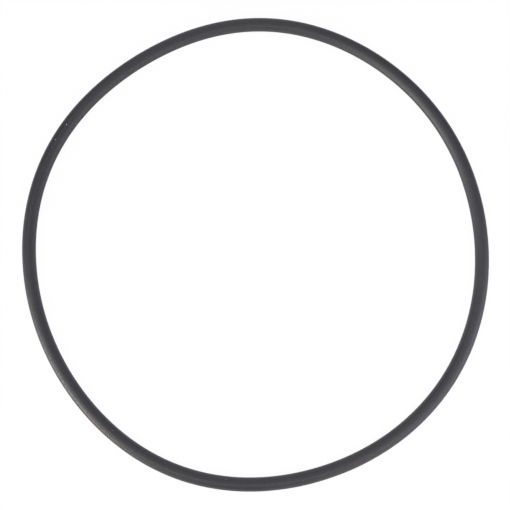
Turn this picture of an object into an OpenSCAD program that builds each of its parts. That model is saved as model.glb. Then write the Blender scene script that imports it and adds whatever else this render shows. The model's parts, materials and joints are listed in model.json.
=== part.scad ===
// Rubber o-ring: one moulded ring of round section, lying flat.
// Lengths are in millimetres. The origin is the centre of the ring, on the
// middle plane of its section, and +Z runs along the axis of the ring.

/* [Ring] */
// Inside diameter, across the round section's innermost points
inside_d = 113.89; // [60:0.01:240]
// Diameter of the round rubber section
section_d = 3.53; // [1.5:0.01:8]

/* [Mould line] */
// Height of the trimmed mould line along the axis of the ring
land_h = 0.16; // [0.08:0.01:0.4]
// How far the trimmed mould line stands out from the round section
land_proud = 0.04; // [0.02:0.01:0.12]

/* [Hidden] */
section_r = section_d / 2;
// From the axis of the ring to the middle of the section
centre_r = inside_d / 2 + section_r;
ring_steps = 360;
section_steps = 64;

// One side of the cut section, standing on the axis of the ring: a full round,
// with the narrow land left inside and outside where the mould halves met and
// the thin fin of rubber between them was trimmed away.
module cut_section() {
  translate([centre_r, 0]) {
    circle(r = section_r, $fn = section_steps);
    square([2 * (section_r + land_proud), land_h], center = true);
  }
}

// The whole object: the cut section turned once round the axis.
module o_ring() {
  color([0.16, 0.16, 0.17])
    rotate_extrude($fn = ring_steps)
      cut_section();
}

o_ring();
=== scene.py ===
"""A thin black rubber o-ring, lying flat on a white table under soft light, seen from above."""
import json
import math

import bpy
from mathutils import Matrix, Vector, noise


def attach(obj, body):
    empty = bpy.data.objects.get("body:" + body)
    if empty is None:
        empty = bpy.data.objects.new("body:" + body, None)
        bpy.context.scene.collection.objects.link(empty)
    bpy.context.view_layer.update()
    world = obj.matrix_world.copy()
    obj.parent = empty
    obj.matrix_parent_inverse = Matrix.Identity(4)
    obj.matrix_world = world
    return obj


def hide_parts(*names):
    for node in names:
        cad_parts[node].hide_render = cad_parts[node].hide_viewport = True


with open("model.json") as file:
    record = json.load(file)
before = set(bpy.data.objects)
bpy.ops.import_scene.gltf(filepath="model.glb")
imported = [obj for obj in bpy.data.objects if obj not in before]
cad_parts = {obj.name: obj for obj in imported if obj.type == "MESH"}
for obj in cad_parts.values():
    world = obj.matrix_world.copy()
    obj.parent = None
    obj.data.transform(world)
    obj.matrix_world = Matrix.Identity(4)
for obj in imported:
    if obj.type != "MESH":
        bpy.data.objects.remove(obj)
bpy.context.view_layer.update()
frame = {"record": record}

MM = 0.001

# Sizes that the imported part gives: its two seats are the inner and outer crest of the mould line.
seats = {mount["name"]: mount["dims"] for mount in frame["record"]["mounts"]}
crest_in = seats["inner_seat"]["r_mm"] * MM
crest_out = seats["outer_seat"]["r_mm"] * MM
land_h = seats["inner_seat"]["length_mm"] * MM

# How far the mould line stands out from the round section.
LAND_PROUD = 0.04 * MM
ring_r = (crest_in + crest_out) / 2
section_r = (crest_out - crest_in) / 2 - LAND_PROUD
table_z = -section_r

# The soft ring doesn't lie as a true circle. Each wave has its count of crests round the ring, its height
# in mm and the direction of one crest in degrees.
LIE_WAVES = (
    (2, 0.528, -83.3),
    (3, 0.103, -49.5),
    (4, 0.338, -19.4),
    (5, 0.146, 24.3),
    (6, 0.086, 27.5),
    (7, 0.041, -8.5),
)

# Steps of the mesh round the ring, and points over each half of its section.
RING_STEPS = 1200
ARC_STEPS = 34

# The trimmed fin left a ragged crest. Its height, as a share of LAND_PROUD, wanders round the middle share
# and stays between the other two.
CREST_LOW = 0.35
CREST_MIDDLE = 0.75
CREST_HIGH = 1.0
# What makes it wander. Each noise has its features along one radius of the ring, its height as a share, and
# how far it is shifted between the two sides and between the levels of the land.
CREST_NOISES = (
    (9, 0.5, 10, 0.0),
    (70, 0.35, 20, 0.4),
)
# The crest is lower by this share at the land's two edges.
CREST_ROUNDING = 0.3
# Levels of the points on the land, as shares of half its height.
LAND_LEVELS = (-1.0, -0.8, 0.0, 0.8, 1.0)

# Edges of the land that turn by more than this stay sharp, in degrees.
CREASE_ANGLE = 40

# The moulded surface is faintly uneven, by this much over stretches of a few millimetres.
SWELL = 0.006 * MM
SWELL_PER_M = 180


def lie_radius(turn):
    """Distance from the axis to the middle of the section, at an angle in radians."""
    radius = ring_r
    for crests, height, crest_at in LIE_WAVES:
        radius += height * MM * math.cos(crests * (turn - math.radians(crest_at)))
    return radius


def section_outline():
    """The cut section, anticlockwise from the outer mould line: (outward, up, side of the land or 0)."""
    rim_angle = math.asin(land_h / 2 / section_r)
    points = []
    for side in (1, -1):
        for up in LAND_LEVELS:
            points.append((side * section_r, side * up * land_h / 2, side))
        start = rim_angle if side == 1 else math.pi + rim_angle
        for step in range(ARC_STEPS):
            angle = start + (math.pi - 2 * rim_angle) * step / (ARC_STEPS - 1)
            points.append((section_r * math.cos(angle), section_r * math.sin(angle), 0))
    return points


def crest_height(turn, side, up):
    """How far the ragged crest stands out from the section, at one side and level of the land."""
    spot = Vector((math.cos(turn), math.sin(turn), 0))
    share = CREST_MIDDLE
    for features, height, side_shift, level_shift in CREST_NOISES:
        shift = Vector((0, 0, side_shift * side + level_shift * up))
        share += height * noise.noise(spot * features + shift)
    return LAND_PROUD * min(CREST_HIGH, max(CREST_LOW, share)) * (1 - CREST_ROUNDING * up * up)


def build_mesh(name, points, faces):
    mesh = bpy.data.meshes.new(name)
    mesh.from_pydata(points, [], faces)
    mesh.update()
    piece = bpy.data.objects.new(name, mesh)
    bpy.context.scene.collection.objects.link(piece)
    return piece


def ring_point(turn, out, up):
    """A point of the ring: turn is the angle round it, out and up are measured from its section's middle."""
    reach = lie_radius(turn) + out
    return Vector((reach * math.cos(turn), reach * math.sin(turn), up))


def make_ring():
    outline = section_outline()
    count = len(outline)
    points = []
    for step in range(RING_STEPS):
        turn = 2 * math.pi * step / RING_STEPS
        for out, up, land in outline:
            if land:
                out += land * crest_height(turn, land, up / (land_h / 2))
            else:
                swell = 1 + SWELL / section_r * noise.noise(ring_point(turn, out, up) * SWELL_PER_M)
                out *= swell
                up *= swell
            points.append(ring_point(turn, out, up))
    faces = []
    for step in range(RING_STEPS):
        here = step * count
        there = (step + 1) % RING_STEPS * count
        for k in range(count):
            after = (k + 1) % count
            faces.append((here + k, there + k, there + after, here + after))
    ring = build_mesh("ring", points, faces)
    ring.data.shade_smooth()
    ring.data.set_sharp_from_angle(angle=math.radians(CREASE_ANGLE))
    lay_surface_lengths(ring.data, count)
    mark_land(ring.data, outline)
    return ring


def mark_land(mesh, outline):
    """A value on each point: 1 on the land and 0 on the round section."""
    values = [1.0 if land else 0.0 for out, up, land in outline] * RING_STEPS
    mesh.attributes.new("land", "FLOAT", "POINT").data.foreach_set("value", values)


def lay_surface_lengths(mesh, count):
    """A UV map in metres, u along the ring and v round its section, so that marks can follow the ring."""
    along = 2 * math.pi * ring_r / RING_STEPS
    around = 2 * math.pi * section_r / count
    layer = mesh.uv_layers.new(name="lengths")
    for face in mesh.polygons:
        step, k = divmod(face.index, count)
        corners = ((step, k), (step + 1, k), (step + 1, k + 1), (step, k + 1))
        for loop, (i, j) in zip(face.loop_indices, corners):
            layer.data[loop].uv = (i * along, j * around)


def node_tree(material):
    material.use_nodes = True
    tree = material.node_tree
    tree.nodes.clear()
    return tree


def add_node(tree, kind, **values):
    """A node with its sockets and settings filled in; a name that isn't a socket is a setting."""
    node = tree.nodes.new(kind)
    for key, value in values.items():
        socket = node.inputs.get(key.replace("_", " "))
        if socket is None:
            setattr(node, key, value)
        else:
            socket.default_value = value
    return node


def tone_ramp(tree, stops):
    """A colour ramp from (place, colour) stops."""
    ramp = tree.nodes.new("ShaderNodeValToRGB")
    for k, (place, colour) in enumerate(stops):
        stop = ramp.color_ramp.elements[k] if k < 2 else ramp.color_ramp.elements.new(place)
        stop.position = place
        stop.color = (*colour, 1)
    return ramp


def level_range(tree, source, low, high, new_low, new_high):
    node = add_node(tree, "ShaderNodeMapRange")
    for name, value in (("From Min", low), ("From Max", high), ("To Min", new_low), ("To Max", new_high)):
        node.inputs[name].default_value = value
    tree.links.new(source, node.inputs["Value"])
    return node.outputs["Result"]


def grain(tree, place, per_metre, detail=2.0, rough=0.5):
    """A noise texture with so many features to the metre."""
    node = add_node(tree, "ShaderNodeTexNoise", Scale=per_metre, Detail=detail, Roughness=rough)
    tree.links.new(place, node.inputs["Vector"])
    return node.outputs["Fac"]


def bump_layer(tree, height, depth, under=None):
    """A bump as deep as depth in metres, on top of an earlier one."""
    node = add_node(tree, "ShaderNodeBump", Strength=1.0, Distance=depth)
    tree.links.new(height, node.inputs["Height"])
    if under:
        tree.links.new(under, node.inputs["Normal"])
    return node.outputs["Normal"]


def blend(tree, share, first, second):
    """A colour between two, by a share from 0 to 1."""
    node = add_node(tree, "ShaderNodeMix", data_type="RGBA")
    for name, value in (("Factor", share), ("A", first), ("B", second)):
        socket = next(s for s in node.inputs if s.name == name and s.enabled)
        if isinstance(value, tuple):
            socket.default_value = (*value, 1)
        else:
            tree.links.new(value, socket)
    return next(s for s in node.outputs if s.enabled)


# A length along the ring counts for this share of one round its section, so that marks run along the ring.
ALONG_SHARE = 0.012


def along_ring(tree, place, lengths):
    """Texture places that change fast round the section and slowly along the ring, with no seam along it."""
    flat = add_node(tree, "ShaderNodeMapping", vector_type="POINT")
    flat.inputs["Scale"].default_value = (ALONG_SHARE, ALONG_SHARE, 0)
    tree.links.new(place, flat.inputs["Vector"])
    parts = tree.nodes.new("ShaderNodeSeparateXYZ")
    tree.links.new(lengths, parts.inputs["Vector"])
    around = tree.nodes.new("ShaderNodeCombineXYZ")
    tree.links.new(parts.outputs["Y"], around.inputs["Z"])
    total = add_node(tree, "ShaderNodeVectorMath", operation="ADD")
    tree.links.new(flat.outputs["Vector"], total.inputs[0])
    tree.links.new(around.outputs["Vector"], total.inputs[1])
    return total.outputs["Vector"]


# Most of a noise texture lies between these two values.
NOISE_LOW = 0.3
NOISE_HIGH = 0.7

# The moulded skin: the two tones of its mottling, the two ends of its roughness, and the features of each
# to the metre.
SKIN_DARK = (0.023, 0.022, 0.0275)
SKIN_PALE = (0.0285, 0.0275, 0.033)
MOTTLE_PER_M = 210
SKIN_SMOOTH = 0.485
SKIN_ROUGH = 0.515
PATCHES_PER_M = 900
# The marks that the mould left and the fine grain: features to the metre and depth.
MARKS_PER_M = 5500
MARKS_DEPTH = 0.0015 * MM
GRAIN_PER_M = 10000
GRAIN_DEPTH = 0.0022 * MM
# The trimmed land is torn rubber: a little paler than the moulded skin, and rougher by this much.
LAND_TONE = (0.036, 0.035, 0.039)
LAND_ROUGHER = 0.15


def rubber_material():
    """Matte black moulded rubber: mottled tone, faint marks along the ring from the mould, fine grain."""
    material = bpy.data.materials.new("black_rubber")
    tree = node_tree(material)
    link = tree.links.new
    place = add_node(tree, "ShaderNodeTexCoord").outputs["Object"]
    lengths = add_node(tree, "ShaderNodeUVMap", uv_map="lengths").outputs["UV"]
    shader = tree.nodes.new("ShaderNodeBsdfPrincipled")
    out = tree.nodes.new("ShaderNodeOutputMaterial")

    mottle = grain(tree, place, MOTTLE_PER_M, detail=4, rough=0.6)
    tone = tone_ramp(tree, ((NOISE_LOW, SKIN_DARK), (NOISE_HIGH, SKIN_PALE)))
    link(mottle, tone.inputs["Fac"])
    land = add_node(tree, "ShaderNodeAttribute", attribute_name="land").outputs["Fac"]
    link(blend(tree, land, tone.outputs["Color"], LAND_TONE), shader.inputs["Base Color"])

    patches = grain(tree, place, PATCHES_PER_M, detail=3, rough=0.6)
    moulded = level_range(tree, patches, NOISE_LOW, NOISE_HIGH, SKIN_SMOOTH, SKIN_ROUGH)
    rougher = add_node(tree, "ShaderNodeMath", operation="MULTIPLY_ADD")
    rougher.inputs[1].default_value = LAND_ROUGHER
    link(land, rougher.inputs[0])
    link(moulded, rougher.inputs[2])
    link(rougher.outputs[0], shader.inputs["Roughness"])

    marks = grain(tree, along_ring(tree, place, lengths), MARKS_PER_M, detail=2)
    fine = grain(tree, place, GRAIN_PER_M, detail=3, rough=0.6)
    normal = bump_layer(tree, marks, MARKS_DEPTH)
    normal = bump_layer(tree, fine, GRAIN_DEPTH, under=normal)
    link(normal, shader.inputs["Normal"])
    link(shader.outputs["BSDF"], out.inputs["Surface"])
    return material


# Dust on the ring: (angle round the ring, angle round its section from the outermost point over the top, both
# in degrees, and the size in mm).
DUST = (
    (145.9, 86, 0.29),
    (150.5, 76, 0.165),
    (142.4, 100, 0.07),
    (231.7, 109, 0.14),
    (262.8, 126, 0.14),
    (241.6, 97, 0.08),
    (255.9, 82, 0.08),
    (64.5, 83, 0.05),
    (69.0, 106, 0.05),
    (131.3, 92, 0.05),
    (156.0, 134, 0.06),
    (173.4, 95, 0.05),
    (180.4, 91, 0.05),
    (341.8, 80, 0.05),
)
# The mesh of one crumb: bands from its top to its bottom, and sides round it.
SPECK_ROUNDS = 9
SPECK_SIDES = 14
# Its width and its height as shares of its length.
SPECK_WIDTH = 0.75
SPECK_HEIGHT = 0.7
# Its lumps: how many to half its length, and how high.
SPECK_LUMPS = (
    (2.3, 0.35),
    (6, 0.15),
)
# How far apart the noise is read for two crumbs, by their angles in radians, so that each has its own lumps.
SPECK_APART = (7, 5)

# Dust is dull and crumbly, and mottled between two tones. Its mottling and its grain have so many features
# to the metre.
DUST_BROWN = (0.52, 0.47, 0.44)
DUST_WHITE = (0.74, 0.73, 0.72)
DUST_WHITE_FROM = 0.6
DUST_ROUGHNESS = 0.9
DUST_MOTTLE_PER_M = 400
DUST_GRAIN_PER_M = 20000
DUST_GRAIN_DEPTH = 0.01 * MM


def dust_material():
    material = bpy.data.materials.new("pale_dust")
    tree = node_tree(material)
    link = tree.links.new
    place = add_node(tree, "ShaderNodeTexCoord").outputs["Object"]
    shader = add_node(tree, "ShaderNodeBsdfPrincipled", Roughness=DUST_ROUGHNESS)
    tone = tone_ramp(tree, ((NOISE_LOW, DUST_BROWN), (DUST_WHITE_FROM, DUST_WHITE)))
    link(grain(tree, place, DUST_MOTTLE_PER_M), tone.inputs["Fac"])
    link(tone.outputs["Color"], shader.inputs["Base Color"])
    crumbs = grain(tree, place, DUST_GRAIN_PER_M)
    link(bump_layer(tree, crumbs, DUST_GRAIN_DEPTH), shader.inputs["Normal"])
    out = tree.nodes.new("ShaderNodeOutputMaterial")
    link(shader.outputs["BSDF"], out.inputs["Surface"])
    return material


def speck_shape(turn, rise, size):
    """One crumb of dust, its lower half sunk in the rubber: the points and faces of a small uneven lump."""
    middle = ring_point(turn, section_r * math.cos(rise), section_r * math.sin(rise))
    flat_out = Vector((math.cos(turn), math.sin(turn), 0))
    normal = flat_out * math.cos(rise) + Vector((0, 0, math.sin(rise)))
    along = Vector((-math.sin(turn), math.cos(turn), 0))
    aside = normal.cross(along)
    apart = Vector((turn * SPECK_APART[0], rise * SPECK_APART[1], 0))
    points = []
    for level in range(SPECK_ROUNDS + 1):
        dip = math.pi * level / SPECK_ROUNDS
        for side in range(SPECK_SIDES if 0 < level < SPECK_ROUNDS else 1):
            swing = 2 * math.pi * side / SPECK_SIDES
            way = (along * math.cos(swing) + aside * SPECK_WIDTH * math.sin(swing)) * math.sin(dip)
            way += normal * SPECK_HEIGHT * math.cos(dip)
            swollen = 1
            for features, height in SPECK_LUMPS:
                swollen += height * noise.noise((way + apart) * features)
            points.append(middle + way * swollen * size / 2)
    faces = []
    for side in range(SPECK_SIDES):
        after = (side + 1) % SPECK_SIDES
        faces.append((0, 1 + side, 1 + after))
        for level in range(SPECK_ROUNDS - 2):
            here = 1 + level * SPECK_SIDES
            below = here + SPECK_SIDES
            faces.append((here + side, below + side, below + after, here + after))
        last = 1 + (SPECK_ROUNDS - 2) * SPECK_SIDES
        faces.append((last + side, len(points) - 1, last + after))
    return points, faces


def make_dust():
    points, faces = [], []
    for angle, rise, size in DUST:
        new_points, new_faces = speck_shape(math.radians(angle), math.radians(rise), size * MM)
        faces += [tuple(len(points) + k for k in face) for face in new_faces]
        points += new_points
    dust = build_mesh("dust", points, faces)
    dust.data.shade_smooth()
    dust.data.materials.append(dust_material())
    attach(dust, "root")


# The table is a wide white plane. Near the ring WHITE_SHARE of it is plain white and the rest is lit paper,
# so that the contact shadow shows. Between the two distances from the ring's centre, in metres, it turns all
# white.
TABLE_HALF = 4.0
TABLE_PAPER = (0.95, 0.95, 0.95)
WHITE_SHARE = 0.96
WHITE_FROM = 0.09
WHITE_ALL = 0.25


def white_to_the_eye(tree):
    """1 for rays from the camera, a mirror or glass, and 0 for the rays that only carry light."""
    rays = tree.nodes.new("ShaderNodeLightPath")
    total = rays.outputs["Is Camera Ray"]
    for name in ("Is Glossy Ray", "Is Transmission Ray"):
        both = add_node(tree, "ShaderNodeMath", operation="MAXIMUM")
        tree.links.new(total, both.inputs[0])
        tree.links.new(rays.outputs[name], both.inputs[1])
        total = both.outputs[0]
    return total


def table_material():
    """White to the eye, with a little of the plain lit surface left in so that the contact shadow shows."""
    material = bpy.data.materials.new("white_table")
    tree = node_tree(material)
    link = tree.links.new
    paper = tree.nodes.new("ShaderNodeBsdfDiffuse")
    paper.inputs["Color"].default_value = (*TABLE_PAPER, 1)
    white = add_node(tree, "ShaderNodeEmission", Strength=1.0)
    place = add_node(tree, "ShaderNodeTexCoord").outputs["Object"]
    away = add_node(tree, "ShaderNodeVectorMath", operation="LENGTH")
    link(place, away.inputs[0])
    share = add_node(tree, "ShaderNodeMath", operation="MULTIPLY")
    link(level_range(tree, away.outputs["Value"], WHITE_FROM, WHITE_ALL, WHITE_SHARE, 1.0), share.inputs[1])
    mix = tree.nodes.new("ShaderNodeMixShader")
    out = tree.nodes.new("ShaderNodeOutputMaterial")
    link(white_to_the_eye(tree), share.inputs[0])
    link(share.outputs[0], mix.inputs["Fac"])
    link(paper.outputs["BSDF"], mix.inputs[1])
    link(white.outputs["Emission"], mix.inputs[2])
    link(mix.outputs["Shader"], out.inputs["Surface"])
    # The white is a backdrop and no lamp, so it isn't sampled as one.
    material.cycles.emission_sampling = "NONE"
    return material


def make_table():
    sides = ((-1, -1), (1, -1), (1, 1), (-1, 1))
    corners = [(x * TABLE_HALF, y * TABLE_HALF, table_z) for x, y in sides]
    table = build_mesh("table", corners, [(0, 1, 2, 3)])
    table.data.materials.append(table_material())


def spot_round(azimuth, elevation, distance):
    """The place so far from the ring's centre: azimuth from +X towards +Y, elevation from the table."""
    azimuth, elevation = math.radians(azimuth), math.radians(elevation)
    flat = distance * math.cos(elevation)
    return Vector((flat * math.cos(azimuth), flat * math.sin(azimuth), distance * math.sin(elevation)))


# Soft lamps round the table, all facing the ring's centre. Each has its name, its azimuth from +X towards +Y
# and its elevation from the table in degrees, its distance, width and height in metres, its power in watts
# and its colour.
LAMPS = (
    ("low_left", 205, 8, 0.5, 0.20, 0.14, 1.12, (0.89, 0.92, 1.0)),
    ("low_front", 218, 8, 0.5, 0.20, 0.14, 1.10, (1.0, 0.86, 0.64)),
    ("high_front", 212, 48, 0.5, 0.18, 0.22, 0.65, (1.0, 0.99, 0.88)),
    ("far_front", 215, 49, 1.0, 0.60, 0.44, 1.48, (1.0, 0.98, 0.92)),
    ("overhead", 250, 75, 0.5, 0.22, 0.22, 0.23, (1.0, 0.94, 0.84)),
    ("front_low", 300, 8, 0.3, 0.18, 0.08, 0.13, (1.0, 0.86, 0.70)),
    ("right_front", 310, 45, 0.3, 0.18, 0.18, 0.30, (1.0, 0.99, 0.95)),
    ("right_low", 335, 8, 0.2, 0.16, 0.06, 0.105, (1.0, 0.94, 0.98)),
    ("right_panel", 350, 28, 0.2, 0.12, 0.16, 0.07, (0.79, 0.81, 1.0)),
    ("back_right", 20, 35, 0.3, 0.24, 0.24, 0.095, (1.0, 0.85, 0.74)),
    ("back_panel", 95, 50, 0.5, 0.50, 0.60, 1.02, (1.0, 0.93, 0.75)),
    ("back_low", 97, 8, 0.3, 0.30, 0.08, 0.13, (0.74, 0.64, 1.0)),
)
SKY_COLOUR = (0.10, 0.34, 1.0)
SKY_STRENGTH = 0.14


def frame_at(place, right, back):
    """A matrix that puts something at a place, with its own X to the right and its own Z to the back."""
    return Matrix.Translation(place) @ Matrix((right, back.cross(right), back)).transposed().to_4x4()


def add_lamp(name, azimuth, elevation, away, wide, tall, power, colour):
    data = bpy.data.lights.new(name, "AREA")
    data.shape = "RECTANGLE"
    data.size = wide
    data.size_y = tall
    data.energy = power
    data.color = colour
    lamp = bpy.data.objects.new(name, data)
    lamp.location = spot_round(azimuth, elevation, away)
    back = lamp.location.normalized()
    right = Vector((0, 0, 1)).cross(back).normalized()
    lamp.matrix_world = frame_at(lamp.location, right, back)
    lamp.visible_camera = False
    bpy.context.scene.collection.objects.link(lamp)


def make_world():
    """A dim, slightly blue room that lights the ring, and plain white behind it to the camera."""
    world = bpy.data.worlds.new("studio")
    bpy.context.scene.world = world
    world.use_nodes = True
    tree = world.node_tree
    tree.nodes.clear()
    room = add_node(tree, "ShaderNodeBackground", Strength=SKY_STRENGTH)
    room.inputs["Color"].default_value = (*SKY_COLOUR, 1)
    white = add_node(tree, "ShaderNodeBackground", Strength=1.0)
    white.inputs["Color"].default_value = (1, 1, 1, 1)
    rays = tree.nodes.new("ShaderNodeLightPath")
    mix = tree.nodes.new("ShaderNodeMixShader")
    out = tree.nodes.new("ShaderNodeOutputWorld")
    tree.links.new(rays.outputs["Is Camera Ray"], mix.inputs["Fac"])
    tree.links.new(room.outputs["Background"], mix.inputs[1])
    tree.links.new(white.outputs["Background"], mix.inputs[2])
    tree.links.new(mix.outputs["Shader"], out.inputs["Surface"])


# The camera looks almost straight down, from a little below and to the right of the ring's centre: its
# distance, its tilt from the upright and the direction of the tilt from +X in degrees, and what it aims at.
CAMERA_AWAY = 382.2 * MM
CAMERA_TILT = 6.24
CAMERA_SIDE = -78
CAMERA_AIM = Vector((-0.05 * MM, -0.84 * MM, 0.0))
LENS_MM = 105.0
# The nearest and farthest things that the camera sees, in metres.
SEEN_FROM = 0.01
SEEN_TO = 10


def make_camera():
    data = bpy.data.cameras.new("camera")
    data.lens = LENS_MM
    data.clip_start = SEEN_FROM
    data.clip_end = SEEN_TO
    camera = bpy.data.objects.new("camera", data)
    bpy.context.scene.collection.objects.link(camera)
    place = spot_round(CAMERA_SIDE, 90 - CAMERA_TILT, CAMERA_AWAY)
    back = (place - CAMERA_AIM).normalized()
    right = Vector((0, 1, 0)).cross(back).normalized()
    camera.matrix_world = frame_at(place, right, back)
    bpy.context.scene.camera = camera


rubber = rubber_material()
ring = make_ring()
ring.data.materials.append(rubber)
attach(ring, "root")
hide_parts("o_ring")

make_dust()
make_table()
make_camera()
make_world()
for lamp in LAMPS:
    add_lamp(*lamp)

bpy.context.scene.view_settings.view_transform = "Standard"
